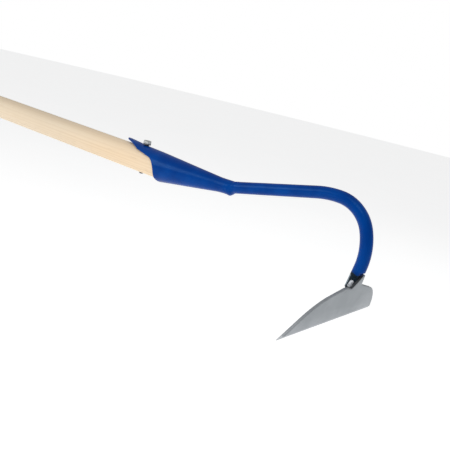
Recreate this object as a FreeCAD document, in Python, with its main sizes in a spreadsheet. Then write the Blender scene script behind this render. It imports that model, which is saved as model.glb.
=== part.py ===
# Swan-neck draw hoe: an ash handle, a rolled sheet socket, a bent bar neck and a flat pointed blade.
# Frame: X runs along the handle towards the head, Z is up, Y is across. The origin is on the
# handle's axis, just outside the tip of the socket's tongue. Millimetres and degrees.
import FreeCAD, Part
import Sketcher
import math
import os

V = FreeCAD.Vector
TINY = 0.01  # for finding edges that lie in a plane
doc = FreeCAD.newDocument("DrawHoe")

# ---------------------------------------------------------------- driving dimensions
SIZES = [
    # handle
    ("handleRadius", 14, "radius of the ash pole"),
    ("handleOut", 1280, "length of the bare pole, up to the origin"),
    ("handleButtRound", 9, "rounding of the far end"),
    ("handleEase", 0.1, "how much thinner the pole gets from the origin to the cone"),
    ("poleGap", 6, "gap between the pole's end and the neck's root"),
    ("woodFit", 0.15, "gap between wood and sheet"),
    # socket
    ("sheet", 1.4, "thickness of the socket's sheet"),
    ("tongueTip", 2, "place of the tongue's tip"),
    ("tongueLift", 2.6, "how far the sheet would spring off the wood at the origin"),
    ("tongueSpare", 2, "sheet beyond the tongue's tip, cut away"),
    ("tongueBend", 34, "where the tongue lies down on the wood"),
    ("coneStart", 58, "where the cone begins, and the pole's taper inside it"),
    ("coneDrop", 0.8, "how far the cone's large end sits below the pole's axis"),
    ("coneEnd", 140, "where the cone meets the collar"),
    ("collarLength", 10, "length of the collar that grips the neck"),
    ("collarSlope", 3.1, "slope of the collar, degrees"),
    ("collarStartHeight", 3.7, "height of the collar's axis at the cone's end"),
    ("collarTaper", 0.2, "how much the collar narrows along its length"),
    ("tongueNose", 3.2, "radius of the tongue's tip"),
    ("tongueHalfAngle", 20.5, "half the angle between the tongue's sides, degrees"),
    ("tongueEnd", 26, "where the tapering part of the tongue ends"),
    ("mouthStep", 0.1, "how far the mouth's side starts below the tongue's side"),
    ("mouthSlope", 10.8, "slope of the mouth's upper side, degrees"),
    ("mouthFront", 60, "where the mouth's side stands upright"),
    ("mouthUpright", 3.2, "straight part of the upright side"),
    ("mouthCorner", 8, "radius of the sheet's corners at the seam"),
    ("mouthCornerDip", 2.08, "how far that round would run on below the sheet"),
    ("seamGap", 1.2, "open seam under the socket"),
    ("cutMargin", 14, "how far the cutting outlines reach beyond the pole"),
    # neck
    ("neckRadius", 6, "radius of the neck's bar"),
    ("neckFit", 0.05, "gap between collar and bar"),
    ("neckRoot", 19.3, "straight root inside the socket"),
    ("rootOut", 0.3, "how far the straight root comes out of the collar"),
    ("rootBendRadius", 12, "bend at the weld, radius"),
    ("rootBendAngle", 11, "bend at the weld, degrees"),
    ("neckRun", 99, "straight run of the neck"),
    ("crownRadius", 90, "first bend, radius"),
    ("crownAngle", 16, "first bend, degrees"),
    ("shoulderRadius", 36, "second bend, radius"),
    ("shoulderAngle", 65, "second bend, degrees"),
    ("fallRadius", 62, "third bend, radius"),
    ("fallAngle", 32, "third bend, degrees"),
    ("neckTail", 20.5, "straight end that carries the blade"),
    # blade, measured from the point where the neck's axis crosses the blade's top
    ("plate", 2.5, "thickness of the blade"),
    ("flatDepth", 2.5, "depth of the flat on the neck that the blade lies on"),
    ("flatMargin", 1, "how far the flat runs on past the tang"),
    ("bladeOverlap", 3.2, "how far the neck's end reaches below the blade's top"),
    ("edgeDepth", 30.5, "depth of the cutting edge below the blade's top"),
    ("tipReach", 115, "length on the side of the tip"),
    ("spineReach", 71.6, "place of the spine's bend"),
    ("spineDrop", 4.5, "drop of the spine at its bend"),
    ("spineRadius", 120, "radius of the spine's bend"),
    ("spineTopReach", 24, "place of the spine's highest point, near the neck"),
    ("spineTopRise", 4, "height of that point"),
    ("spineTopRound", 14, "rounding of that point"),
    ("heelReach", 56, "length on the side of the heel"),
    ("heelTopReach", 50.3, "place of the heel's upper corner"),
    ("heelDrop", 7.4, "drop of the heel's upper corner"),
    ("heelRadius", 30, "rounding of the heel"),
    ("tangHeight", 13.5, "height of the tang above the blade's top"),
    ("tangTopLeft", 2.4, "left corner of the tang's top"),
    ("tangTopRight", 4.7, "right corner of the tang's top"),
    ("tangTopRound", 0.9, "rounding of the tang's top"),
    ("tangRootLeft", 13, "foot of the tang on the side of the tip"),
    ("tangRootRise", 1.2, "height of that foot"),
    ("tangRootRound", 5, "rounding of that foot"),
    ("tangHeelFoot", 6, "foot of the tang on the side of the heel"),
    ("tangHeelRise", 3.5, "height of that foot"),
    ("tangHeelRound", 2.5, "rounding of that foot"),
    ("edgeBevel", 3.5, "width of the ground bevel"),
    ("edgeLand", 0.6, "thickness left at the cutting edge"),
    ("heelBevel", 0.8, "width of the dressed edge round the face"),
    ("heelBevelDepth", 0.5, "depth of that dressed edge"),
    # screw
    ("screwPlace", 30.5, "place of the screw"),
    ("screwRadius", 2.5, "radius of the screw's shank"),
    ("screwHoleFit", 0.2, "gap between shank and the hole in the sheet"),
    ("pilotFit", 0.05, "gap between shank and the hole in the wood"),
    ("screwFlats", 8, "hexagon across flats"),
    ("screwHeadHeight", 4.4, "height of the head"),
    ("screwStandoff", 1.4, "how far the head stands off the tongue"),
    ("screwProud", 1.3, "how far the screw's end comes out under the wood"),
    ("screwCrown", 0.15, "how far the head's top circle stays inside the flats"),
    ("screwTurn", 19, "direction of one flat of the head, degrees"),
    # weld beads
    ("beadProud", 1.6, "how far the bead stands off the neck"),
    ("beadHalfLength", 7, "half the length that the bead would have on its own"),
    ("beadDrop", 0.8, "how far the bead hangs below the neck's axis"),
    ("beadPlace", 3.5, "place of the bead beyond the collar's end"),
    ("tackLength", 4.2, "half the length of the beads at the blade"),
    ("tackRadius", 2.6, "half their width across the neck"),
    ("tackReach", 3.0, "half their width towards the blade"),
    ("tackSink", 0.4, "how far their middle lies inside the neck's side"),
    ("tackBack", 2.9, "how far their middle lies behind the blade"),
    ("tackRise", 2.5, "height of those beads above the blade's top"),
]

sizes = doc.addObject("Spreadsheet::Sheet", "Sizes")
for row, (alias, value, note) in enumerate(SIZES, start=1):
    sizes.set("A%d" % row, alias)
    sizes.set("B%d" % row, str(value))
    sizes.set("C%d" % row, note)
    sizes.setAlias("B%d" % row, alias)
doc.recompute()


def size(alias):
    return float(sizes.get(alias))


# ---------------------------------------------------------------- helpers
def total(*aliases):
    """The sum of cells, as a number and as an expression; a leading minus takes a cell away."""
    number = 0
    text = ""
    for alias in aliases:
        sign = -1 if alias[0] == "-" else 1
        name = alias.lstrip("-")
        number += sign * size(name)
        text += (" - " if sign < 0 else " + ") + "Sizes." + name
    return number, text.strip(" +")


def add_body(name):
    body = doc.addObject("PartDesign::Body", name)
    body.Label = name
    return body


def add_sketch(body, name, plane, offset=None):
    """A sketch on one of its body's origin planes; offset is an expression."""
    sketch = body.newObject("Sketcher::SketchObject", name)
    support = [f for f in body.Origin.OriginFeatures if f.Role == plane][0]
    sketch.AttachmentSupport = [(support, "")]
    sketch.MapMode = "FlatFace"
    if offset:
        sketch.setExpression("AttachmentOffset.Base.z", offset)
    return sketch


def hold(sketch, constraint, expression=None):
    index = sketch.addConstraint(constraint)
    if expression:
        sketch.setExpression("Constraints[%d]" % index, expression)


def place_point(sketch, geometry, point, x, y):
    """Ties a point to the sketch's origin; x and y are sums of cells, or None for zero."""
    for kind, axis, term in (("DistanceX", -2, x), ("DistanceY", -1, y)):
        if term is None:
            hold(sketch, Sketcher.Constraint("PointOnObject", geometry, point, axis))
        else:
            hold(sketch, Sketcher.Constraint(kind, -1, 1, geometry, point, term[0]), term[1])


def add_circle(sketch, x, y, radius):
    centre = V(x[0] if x else 0, y[0] if y else 0, 0)
    circle = sketch.addGeometry(Part.Circle(centre, V(0, 0, 1), radius[0]))
    place_point(sketch, circle, 3, x, y)
    hold(sketch, Sketcher.Constraint("Radius", circle, radius[0]), radius[1])


def add_outline(sketch, corners):
    """A closed outline of straight sides; each corner is a pair of sums of cells."""
    places = [V(x[0] if x else 0, y[0] if y else 0, 0) for x, y in corners]
    count = len(places)
    first = sketch.GeometryCount
    for i in range(count):
        sketch.addGeometry(Part.LineSegment(places[i], places[(i + 1) % count]))
    for i in range(count):
        hold(sketch, Sketcher.Constraint("Coincident", first + i, 2, first + (i + 1) % count, 1))
    for i, (x, y) in enumerate(corners):
        place_point(sketch, first + i, 1, x, y)


def walk(start, heading, steps):
    """Follows a chain's steps and gives the end and heading of each. A step is (length,) or
    (radius, angle, side), where side is 1 for a turn to the left and -1 to the right. Lengths,
    radii and angles are pairs of a number and its expression."""
    stops = [(start, heading)]
    for step in steps:
        place, angle = stops[-1]
        if len(step) == 1:
            stops.append((place + V(math.cos(angle), math.sin(angle), 0) * step[0][0], angle))
            continue
        (radius, _), (turn, _), side = step
        centre = place + V(-math.sin(angle), math.cos(angle), 0) * (side * radius)
        angle += math.radians(turn) * side
        stops.append((centre - V(-math.sin(angle), math.cos(angle), 0) * (side * radius), angle))
    return stops


def add_chain(sketch, start, heading, steps):
    """Lines and arcs, each running smoothly into the next, with the steps that walk takes."""
    stops = walk(start, heading, steps)
    before = None
    for i, step in enumerate(steps):
        place, angle = stops[i]
        after, angle_after = stops[i + 1]
        if len(step) == 1:
            item = sketch.addGeometry(Part.LineSegment(place, after))
            hold(sketch, Sketcher.Constraint("Distance", item, step[0][0]), step[0][1])
            begin, end = 1, 2
        else:
            radius, turn, side = step
            centre = place + V(-math.sin(angle), math.cos(angle), 0) * (side * radius[0])
            ends = sorted([angle, angle_after])
            quarter = side * math.pi / 2
            circle = Part.Circle(centre, V(0, 0, 1), radius[0])
            item = sketch.addGeometry(Part.ArcOfCircle(circle, ends[0] - quarter, ends[1] - quarter))
            hold(sketch, Sketcher.Constraint("Radius", item, radius[0]), radius[1])
            span = math.radians(turn[0])
            hold(sketch, Sketcher.Constraint("Angle", item, span), "(%s) * 1 deg" % turn[1])
            begin, end = (1, 2) if side > 0 else (2, 1)
        if before:
            hold(sketch, Sketcher.Constraint("Tangent", before[0], before[1], item, begin))
        before = (item, end)
    return stops, before


def add_feature(body, kind, name, **settings):
    feature = body.newObject(kind, name)
    for key, value in settings.items():
        setattr(feature, key, value)
    return feature


def upright_edge(feature, x, y):
    """The edge along the sketch's normal that stands over a corner."""
    def distance(pair):
        a, b = [v.Point for v in pair[1].Vertexes[:2]]
        return math.hypot(a.x - x, a.y - y) + math.hypot(b.x - x, b.y - y)
    edges = [(i, e) for i, e in enumerate(feature.Shape.Edges, start=1) if len(e.Vertexes) == 2]
    return "Edge%d" % min(edges, key=distance)[0]


def round_corner(body, feature, name, x, y, radius):
    """A fillet on the upright edge over the corner (x, y)."""
    doc.recompute()
    fillet = add_feature(body, "PartDesign::Fillet", name, Base=(feature, [upright_edge(feature, x, y)]))
    fillet.setExpression("Radius", "Sizes." + radius)
    return fillet


# ---------------------------------------------------------------- places worked out from the sizes
def collar_height(x):
    return size("collarStartHeight") + (x - size("coneEnd")) * math.tan(math.radians(size("collarSlope")))


collar_end = total("coneEnd", "collarLength")
pole_end = total("coneEnd", "collarLength", "rootOut", "-neckRoot", "-poleGap")
blade_back = total("neckRadius", "-flatDepth")
sheet_outside = total("handleRadius", "woodFit", "coneDrop", "sheet")
beyond = total("handleRadius", "cutMargin")

neck_turn = FreeCAD.Rotation(V(0, 1, 0), -size("collarSlope"))
root_end_x = collar_end[0] + size("rootOut")
root_end = V(root_end_x, 0, collar_height(root_end_x))
root_start = root_end - neck_turn.multVec(V(size("neckRoot"), 0, 0))
neck_frame = FreeCAD.Placement(root_start, neck_turn)

NECK_STEPS = [
    (total("neckRoot"),),
    (total("rootBendRadius"), total("rootBendAngle"), 1),
    (total("neckRun"),),
    (total("crownRadius"), total("crownAngle"), -1),
    (total("shoulderRadius"), total("shoulderAngle"), -1),
    (total("fallRadius"), total("fallAngle"), -1),
    (total("neckTail"),),
]

neck_end, neck_heading = walk(V(0, 0, 0), 0, NECK_STEPS)[-1]

# The blade's frame: X towards the heel, Y up along the neck's end, Z out of the blade's face.
down = neck_turn.multVec(V(math.cos(neck_heading), 0, math.sin(neck_heading)))
blade_top = neck_frame.multVec(V(neck_end.x, 0, neck_end.y)) - down * size("bladeOverlap")
blade_turn = FreeCAD.Rotation(V(0, 1, 0), down * -1, V(0, 1, 0).cross(down * -1), "XYZ")
blade_frame = FreeCAD.Placement(blade_top, blade_turn)


# ---------------------------------------------------------------- handle
def make_handle():
    body = add_body("handle")
    profile = add_sketch(body, "handleProfile", "XZ_Plane")
    out, radius, taper = total("-handleOut"), total("handleRadius"), total("coneStart")
    eased = total("handleRadius", "-handleEase")
    add_outline(profile, [(out, None), (taper, None), (taper, eased), (None, radius), (out, radius)])
    pole = add_feature(body, "PartDesign::Revolution", "handlePole", Profile=profile, Angle=360)
    pole.ReferenceAxis = (profile, ["H_Axis"])
    doc.recompute()
    butt = [i for i, e in enumerate(pole.Shape.Edges, start=1)
            if abs(e.BoundBox.XMax + size("handleOut")) < TINY and e.BoundBox.ZLength > size("handleRadius")]
    rounded = add_feature(body, "PartDesign::Fillet", "handleButt", Base=(pole, ["Edge%d" % butt[0]]))
    rounded.setExpression("Radius", "Sizes.handleButtRound")

    # the tapered end follows the inside of the socket's cone
    large = add_sketch(body, "handleTaperStart", "YZ_Plane", "Sizes.coneStart")
    add_circle(large, None, None, eased)
    small = add_sketch(body, "handleTaperEnd", "YZ_Plane", pole_end[1])
    cone, reach = total("coneEnd", "-coneStart"), total("-coneStart")
    share = ((pole_end[0] + reach[0]) / cone[0], "(%s %s) / (%s)" % (pole_end[1], reach[1], cone[1]))
    rise = total("collarStartHeight", "coneDrop")
    wide = total("handleRadius", "woodFit", "coneDrop")
    tight = total("neckRadius", "neckFit", "collarTaper")
    height = (share[0] * rise[0] - size("coneDrop"), "%s * (%s) - Sizes.coneDrop" % (share[1], rise[1]))
    narrow = ((1 - share[0]) * wide[0] + share[0] * tight[0] - size("woodFit"),
              "(1 - %s) * (%s) + %s * (%s) - Sizes.woodFit" % (share[1], wide[1], share[1], tight[1]))
    add_circle(small, None, height, narrow)
    add_feature(body, "PartDesign::AdditiveLoft", "handleTaper", Profile=large, Sections=[small], Ruled=True)

    pilot = add_sketch(body, "handlePilot", "XY_Plane")
    add_circle(pilot, total("screwPlace"), None, total("screwRadius", "pilotFit"))
    add_feature(body, "PartDesign::Pocket", "handlePilotHole", Profile=pilot,
                Type="ThroughAll", SideType="Symmetric")
    return body


# ---------------------------------------------------------------- socket
def socket_sections():
    """Stations along the sheet: place, height of the axis and inner radius, as sums of cells."""
    lift = size("tongueLift") * (size("tongueBend") + size("tongueSpare")) / size("tongueBend")
    lifted = (lift, "Sizes.tongueLift * (Sizes.tongueBend + Sizes.tongueSpare) / Sizes.tongueBend")
    end = (collar_height(collar_end[0]),
           "Sizes.collarStartHeight + Sizes.collarLength * tan(Sizes.collarSlope * 1 deg)")
    wide = ("handleRadius", "woodFit", "coneDrop")
    return [
        (total("-tongueSpare"), lifted, wide),
        (total("tongueBend"), None, wide),
        (total("coneStart"), total("-coneDrop"), wide),
        (total("coneEnd"), total("collarStartHeight"), ("neckRadius", "neckFit", "collarTaper")),
        (collar_end, end, ("neckRadius", "neckFit")),
    ]


def make_socket():
    body = add_body("socket")
    for kind, name, wall in (("PartDesign::AdditiveLoft", "socketOutside", ("sheet",)),
                             ("PartDesign::SubtractiveLoft", "socketInside", ())):
        stations = []
        for i, (place, height, radius) in enumerate(socket_sections()):
            station = add_sketch(body, "%sStation%d" % (name, i), "YZ_Plane", place[1])
            add_circle(station, None, height, total(*radius, *wall))
            stations.append(station)
        add_feature(body, kind, name, Profile=stations[0], Sections=stations[1:], Ruled=True)
        doc.recompute()

    # the tongue's half width where its straight sides end, and the sheet's height there
    nose, half = size("tongueNose"), math.radians(size("tongueHalfAngle"))
    taper = total("tongueEnd", "-tongueTip", "-tongueNose")
    width = nose / math.cos(half) + taper[0] * math.tan(half)
    width_text = ("(Sizes.tongueNose / cos(Sizes.tongueHalfAngle * 1 deg)"
                  " + (%s) * tan(Sizes.tongueHalfAngle * 1 deg))" % taper[1])
    bend = size("tongueBend")
    side = (math.sqrt(sheet_outside[0] ** 2 - width ** 2) - size("mouthStep")
            + size("tongueLift") * (bend - size("tongueEnd")) / bend)
    side_text = ("(sqrt((%s)^2 - %s^2) - Sizes.mouthStep" % (sheet_outside[1], width_text)
                 + " + Sizes.tongueLift * (Sizes.tongueBend - Sizes.tongueEnd) / Sizes.tongueBend)")

    # the side of the mouth: along the tongue, round to the upright, round the corner at the seam;
    # the round at the top takes what the other steps leave of the height
    mouth = add_sketch(body, "mouthSide", "XZ_Plane")
    slope, far = math.radians(size("mouthSlope")), beyond[0]
    fall = (size("mouthFront") - size("tongueEnd")) * math.tan(slope)
    below = total("mouthUpright", "mouthCorner", "-mouthCornerDip")
    tangent = side - fall + sheet_outside[0] - below[0]
    tangent_text = ("(%s - (Sizes.mouthFront - Sizes.tongueEnd) * tan(Sizes.mouthSlope * 1 deg)"
                    " + %s - (%s))" % (side_text, sheet_outside[1], below[1]))
    full = math.radians(90) - slope
    begin = V(-far, side + (far + size("tongueEnd")) * math.tan(slope), 0)
    run = (size("mouthFront") + far) / math.cos(slope) - tangent
    stops, last = add_chain(mouth, begin, -slope, [
        ((run, "(Sizes.mouthFront + %s) / cos(Sizes.mouthSlope * 1 deg) - %s" % (beyond[1], tangent_text)),),
        ((tangent / math.tan(full / 2), tangent_text + " / tan((90 - Sizes.mouthSlope) / 2 * 1 deg)"),
         (90 - size("mouthSlope"), "90 - Sizes.mouthSlope"), -1),
        (total("mouthUpright"),),
        (total("mouthCorner"), (90, "90"), 1),
    ])
    hold(mouth, Sketcher.Constraint("DistanceX", -1, 1, 0, 1, -far), "-(%s)" % beyond[1])
    hold(mouth, Sketcher.Constraint("DistanceY", -1, 1, 0, 1, begin.y),
         "%s + (%s + Sizes.tongueEnd) * tan(Sizes.mouthSlope * 1 deg)" % (side_text, beyond[1]))
    hold(mouth, Sketcher.Constraint("Angle", 0, -slope), "-Sizes.mouthSlope * 1 deg")
    finish = stops[-1][0]
    corners = [finish, V(finish.x, -far, 0), V(-far, -far, 0), begin]
    for i in range(3):
        mouth.addGeometry(Part.LineSegment(corners[i], corners[i + 1]))
    hold(mouth, Sketcher.Constraint("Coincident", last[0], last[1], 4, 1))
    hold(mouth, Sketcher.Constraint("Vertical", 4))
    hold(mouth, Sketcher.Constraint("Coincident", 4, 2, 5, 1))
    hold(mouth, Sketcher.Constraint("Horizontal", 5))
    hold(mouth, Sketcher.Constraint("Coincident", 5, 2, 6, 1))
    hold(mouth, Sketcher.Constraint("Vertical", 6))
    hold(mouth, Sketcher.Constraint("Coincident", 6, 2, 0, 1))
    hold(mouth, Sketcher.Constraint("DistanceY", -1, 1, 6, 1, -far), "-(%s)" % beyond[1])
    add_feature(body, "PartDesign::Pocket", "mouthCut", Profile=mouth,
                Type="ThroughAll", SideType="Symmetric")
    doc.recompute()

    # the tongue seen from above: a round nose between two straight sides
    tongue = add_sketch(body, "tonguePlan", "XY_Plane")
    centre = total("tongueTip", "tongueNose")
    touch = V(centre[0] - nose * math.sin(half), nose * math.cos(half), 0)
    length, wide, spare = size("tongueEnd"), far, size("tongueSpare") * 2
    points = [V(length, width, 0), touch, V(touch.x, -touch.y, 0), V(length, -width, 0),
              V(length, -wide, 0), V(-spare, -wide, 0), V(-spare, wide, 0), V(length, wide, 0)]
    for i in range(len(points)):
        if i == 1:
            circle = Part.Circle(V(centre[0], 0, 0), V(0, 0, 1), nose)
            quarter = math.pi / 2
            tongue.addGeometry(Part.ArcOfCircle(circle, quarter + half, 3 * quarter - half))
        else:
            tongue.addGeometry(Part.LineSegment(points[i], points[(i + 1) % len(points)]))
    hold(tongue, Sketcher.Constraint("Tangent", 0, 2, 1, 1))
    hold(tongue, Sketcher.Constraint("Tangent", 1, 2, 2, 1))
    for i in range(2, 8):
        hold(tongue, Sketcher.Constraint("Coincident", i, 2, (i + 1) % 8, 1))
    for i in (3, 5, 7):
        hold(tongue, Sketcher.Constraint("Vertical", i))
    for i in (4, 6):
        hold(tongue, Sketcher.Constraint("Horizontal", i))
    place_point(tongue, 1, 3, centre, None)
    hold(tongue, Sketcher.Constraint("Radius", 1, nose), "Sizes.tongueNose")
    hold(tongue, Sketcher.Constraint("Angle", 2, -half), "-Sizes.tongueHalfAngle * 1 deg")
    hold(tongue, Sketcher.Constraint("Symmetric", 0, 1, 2, 2, -1))
    hold(tongue, Sketcher.Constraint("DistanceX", -1, 1, 0, 1, length), "Sizes.tongueEnd")
    hold(tongue, Sketcher.Constraint("DistanceX", -1, 1, 5, 1, -spare), "-2 * Sizes.tongueSpare")
    hold(tongue, Sketcher.Constraint("DistanceY", -1, 1, 5, 1, -wide), "-(%s)" % beyond[1])
    hold(tongue, Sketcher.Constraint("DistanceY", -1, 1, 5, 2, wide), beyond[1])
    add_feature(body, "PartDesign::Pocket", "tongueCut", Profile=tongue, Type="ThroughAll", Reversed=True)
    doc.recompute()

    seam = add_sketch(body, "seamPlan", "XY_Plane")
    half_gap = size("seamGap") / 2
    right = (half_gap, "Sizes.seamGap / 2")
    left = (-half_gap, "-Sizes.seamGap / 2")
    ahead = total("coneEnd", "collarLength", "tongueSpare")
    behind = total("tongueBend")
    add_outline(seam, [(behind, left), (ahead, left), (ahead, right), (behind, right)])
    add_feature(body, "PartDesign::Pocket", "seamCut", Profile=seam, Type="ThroughAll")

    hole = add_sketch(body, "screwHolePlan", "XY_Plane")
    add_circle(hole, total("screwPlace"), None, total("screwRadius", "screwHoleFit"))
    add_feature(body, "PartDesign::Pocket", "screwHole", Profile=hole, Type="ThroughAll", Reversed=True)
    return body


# ---------------------------------------------------------------- neck
def make_neck():
    body = add_body("neck_bar")
    path = add_sketch(body, "neckPath", "XZ_Plane")
    add_chain(path, V(0, 0, 0), 0, NECK_STEPS)
    hold(path, Sketcher.Constraint("Coincident", 0, 1, -1, 1))
    hold(path, Sketcher.Constraint("Horizontal", 0))
    section = add_sketch(body, "neckSection", "YZ_Plane")
    add_circle(section, None, None, total("neckRadius"))
    add_feature(body, "PartDesign::AdditivePipe", "neckPipe", Profile=section, Spine=(path, []))
    body.Placement = neck_frame

    # the flat that the blade's tang lies on
    cutter = doc.addObject("Part::Box", "neck_flat")
    side = total("neckRadius", "flatMargin")
    cutter.setExpression("Length", "2 * (%s)" % side[1])
    cutter.setExpression("Width", "Sizes.bladeOverlap + Sizes.tangHeight + Sizes.flatMargin")
    cutter.setExpression("Height", "Sizes.neckRadius")
    corner = V(-side[0], -size("bladeOverlap"), blade_back[0])
    cutter.Placement = blade_frame.multiply(FreeCAD.Placement(corner, FreeCAD.Rotation()))
    neck = doc.addObject("Part::Cut", "neck")
    neck.Label = "neck"
    neck.Base = body
    neck.Tool = cutter
    return neck


# ---------------------------------------------------------------- blade
def make_blade():
    body = add_body("blade")
    plan = add_sketch(body, "bladePlan", "XY_Plane", blade_back[1])
    edge = total("-edgeDepth")
    corners = {
        "tip": (total("-tipReach"), edge),
        "heelEnd": (total("heelReach"), edge),
        "heelTop": (total("heelTopReach"), total("-heelDrop")),
        "tangHeelFoot": (total("tangHeelFoot"), total("tangHeelRise")),
        "tangTopRight": (total("tangTopRight"), total("tangHeight")),
        "tangTopLeft": (total("tangTopLeft"), total("tangHeight")),
        "tangTipFoot": (total("-tangRootLeft"), total("tangRootRise")),
        "spineTop": (total("-spineTopReach"), total("spineTopRise")),
        "spine": (total("-spineReach"), total("-spineDrop")),
    }
    add_outline(plan, list(corners.values()))
    last = add_feature(body, "PartDesign::Pad", "bladePlate", Profile=plan)
    last.setExpression("Length", "Sizes.plate")
    for corner, radius in (("spine", "spineRadius"), ("spineTop", "spineTopRound"),
                           ("heelTop", "heelRadius"), ("tangTipFoot", "tangRootRound"),
                           ("tangHeelFoot", "tangHeelRound"), ("tangTopLeft", "tangTopRound"),
                           ("tangTopRight", "tangTopRound")):
        x, y = corners[corner]
        last = round_corner(body, last, "bladeRound_" + corner, x[0], y[0], radius)
    doc.recompute()

    # ground bevels on the face: wide along the cutting edge, narrow round the heel
    face = blade_back[0] + size("plate")
    low = -size("edgeDepth")

    def face_edges(feature, chosen):
        names = []
        for i, item in enumerate(feature.Shape.Edges, start=1):
            box = item.BoundBox
            if box.ZMin > face - TINY and chosen(box):
                names.append("Edge%d" % i)
        return names

    def grind(feature, name, chosen, width, depth):
        bevel = add_feature(body, "PartDesign::Chamfer", name, Base=(feature, face_edges(feature, chosen)),
                            ChamferType="Two distances", FlipDirection=True)
        bevel.setExpression("Size", width)
        bevel.setExpression("Size2", depth)
        doc.recompute()
        return bevel

    bevel = grind(last, "cuttingBevel", lambda box: box.YMax < low + TINY,
                  "Sizes.edgeBevel", "Sizes.plate - Sizes.edgeLand")
    beside = size("tangHeelFoot") + size("heelRadius") / 2
    grind(bevel, "heelBevel", lambda box: box.XMin > beside and box.YMax < 0,
          "Sizes.heelBevel", "Sizes.heelBevelDepth")
    return body


# ---------------------------------------------------------------- screw
def make_screw():
    corners = 6
    seat = sheet_outside[0] + size("screwStandoff")
    turn = FreeCAD.Rotation(V(0, 0, 1), size("screwTurn") - 180 / corners)
    here = FreeCAD.Placement(V(size("screwPlace"), 0, seat), turn)

    hexagon = doc.addObject("Part::Prism", "screw_hexagon")
    hexagon.Polygon = corners
    hexagon.setExpression("Circumradius", "Sizes.screwFlats / sqrt(3)")
    hexagon.setExpression("Height", "Sizes.screwHeadHeight")
    hexagon.Placement = here

    crown = doc.addObject("Part::Cone", "screw_crown")
    crown.setExpression("Radius2", "Sizes.screwFlats / 2 - Sizes.screwCrown")
    crown.setExpression("Radius1", "Sizes.screwFlats / 2 + Sizes.screwHeadHeight * sqrt(3)")
    crown.setExpression("Height", "Sizes.screwHeadHeight")
    crown.Placement = here
    head = doc.addObject("Part::Common", "screw_head")
    head.Base = hexagon
    head.Tool = crown

    shank = doc.addObject("Part::Cylinder", "screw_shank")
    shank.setExpression("Radius", "Sizes.screwRadius")
    length = seat + size("handleRadius") + size("screwProud")
    shank.setExpression("Height", "%s + Sizes.screwStandoff + Sizes.handleRadius + Sizes.screwProud"
                        % sheet_outside[1])
    shank.Placement = FreeCAD.Placement(V(size("screwPlace"), 0, seat - length), FreeCAD.Rotation())
    screw = doc.addObject("Part::Fuse", "handle_screw")
    screw.Label = "handle_screw"
    screw.Base = head
    screw.Tool = shank
    return screw


# ---------------------------------------------------------------- weld beads
def cut_by(label, blank, *others):
    """What is left of a blank outside the pieces that it is laid against."""
    rest = blank
    for i, other in enumerate(others):
        cut = doc.addObject("Part::Cut", "%s_cut%d" % (label, i))
        cut.Base = rest
        cut.Tool = other
        rest = cut
    rest.Label = label
    return rest


def make_neck_weld(neck):
    along = FreeCAD.Rotation(V(0, 1, 0), 90)
    height = collar_height(collar_end[0])
    lump = doc.addObject("Part::Ellipsoid", "bead_lump")
    lump.setExpression("Radius1", "Sizes.beadHalfLength")
    for radius in ("Radius2", "Radius3"):
        lump.setExpression(radius, "Sizes.neckRadius + Sizes.beadProud")
    past_root = size("beadPlace") - size("rootOut")
    rise = past_root * math.tan(math.radians(size("collarSlope") + size("rootBendAngle")))
    place = V(collar_end[0] + size("beadPlace"), 0, root_end.z + rise - size("beadDrop"))
    lump.Placement = FreeCAD.Placement(place, along)

    # the room that the collar takes, up to its end
    core = doc.addObject("Part::Cylinder", "bead_core")
    core.setExpression("Radius", "Sizes.neckRadius + Sizes.collarTaper + Sizes.sheet + 3 * Sizes.neckFit")
    core.setExpression("Height", "Sizes.collarLength")
    core.Placement = FreeCAD.Placement(V(size("coneEnd"), 0, height), along)
    return cut_by("neck_weld", lump, core, neck)


def make_blade_weld(label, side, neck, blade):
    tack = doc.addObject("Part::Ellipsoid", label + "_blank")
    tack.setExpression("Radius1", "Sizes.tackReach")
    tack.setExpression("Radius2", "Sizes.tackRadius")
    tack.setExpression("Radius3", "Sizes.tackLength")
    out = size("neckRadius") - size("tackSink")
    place = V(side * out, size("tackRise"), blade_back[0] - size("tackBack"))
    tack.Placement = blade_frame.multiply(FreeCAD.Placement(place, FreeCAD.Rotation()))
    return cut_by(label, tack, neck, blade)


# ---------------------------------------------------------------- the assembly
socket = make_socket()
neck = make_neck()
blade = make_blade()
blade.Placement = blade_frame
handle = make_handle()
screw = make_screw()
doc.recompute()
pieces = [
    handle,
    socket,
    neck,
    make_neck_weld(neck),
    screw,
    blade,
    make_blade_weld("blade_weld_tip_side", -1, neck, blade),
    make_blade_weld("blade_weld_heel_side", 1, neck, blade),
]
doc.recompute()

for item in doc.Objects:
    if "Invalid" in item.State or "Error" in item.State:
        raise RuntimeError("%s could not be built: %s" % (item.Name, item.State))
for piece in pieces:
    shape = piece.Shape
    if shape.isNull() or not shape.isValid():
        raise RuntimeError("%s has no valid shape" % piece.Label)
    if len(shape.Solids) != 1:
        raise RuntimeError("%s has %d solids" % (piece.Label, len(shape.Solids)))

os.makedirs("parts", exist_ok=True)
for piece in pieces:
    piece.Shape.exportStep("parts/%s.step" % piece.Label)
    box = piece.Shape.BoundBox
    print("%-22s %9.0f mm3  x %7.1f..%-7.1f y %7.1f..%-7.1f z %6.1f..%-6.1f" % (
        piece.Label, piece.Shape.Volume, box.XMin, box.XMax, box.YMin, box.YMax, box.ZMin, box.ZMax))
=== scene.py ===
# A long-handled draw hoe: ash pole, rolled sheet socket, bent bar neck and a flat welded blade.
# Metres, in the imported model's frame: X runs along the pole towards the blade, Z is up.
import math
import random

import bmesh
import bpy
from mathutils import Euler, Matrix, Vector, noise


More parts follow.
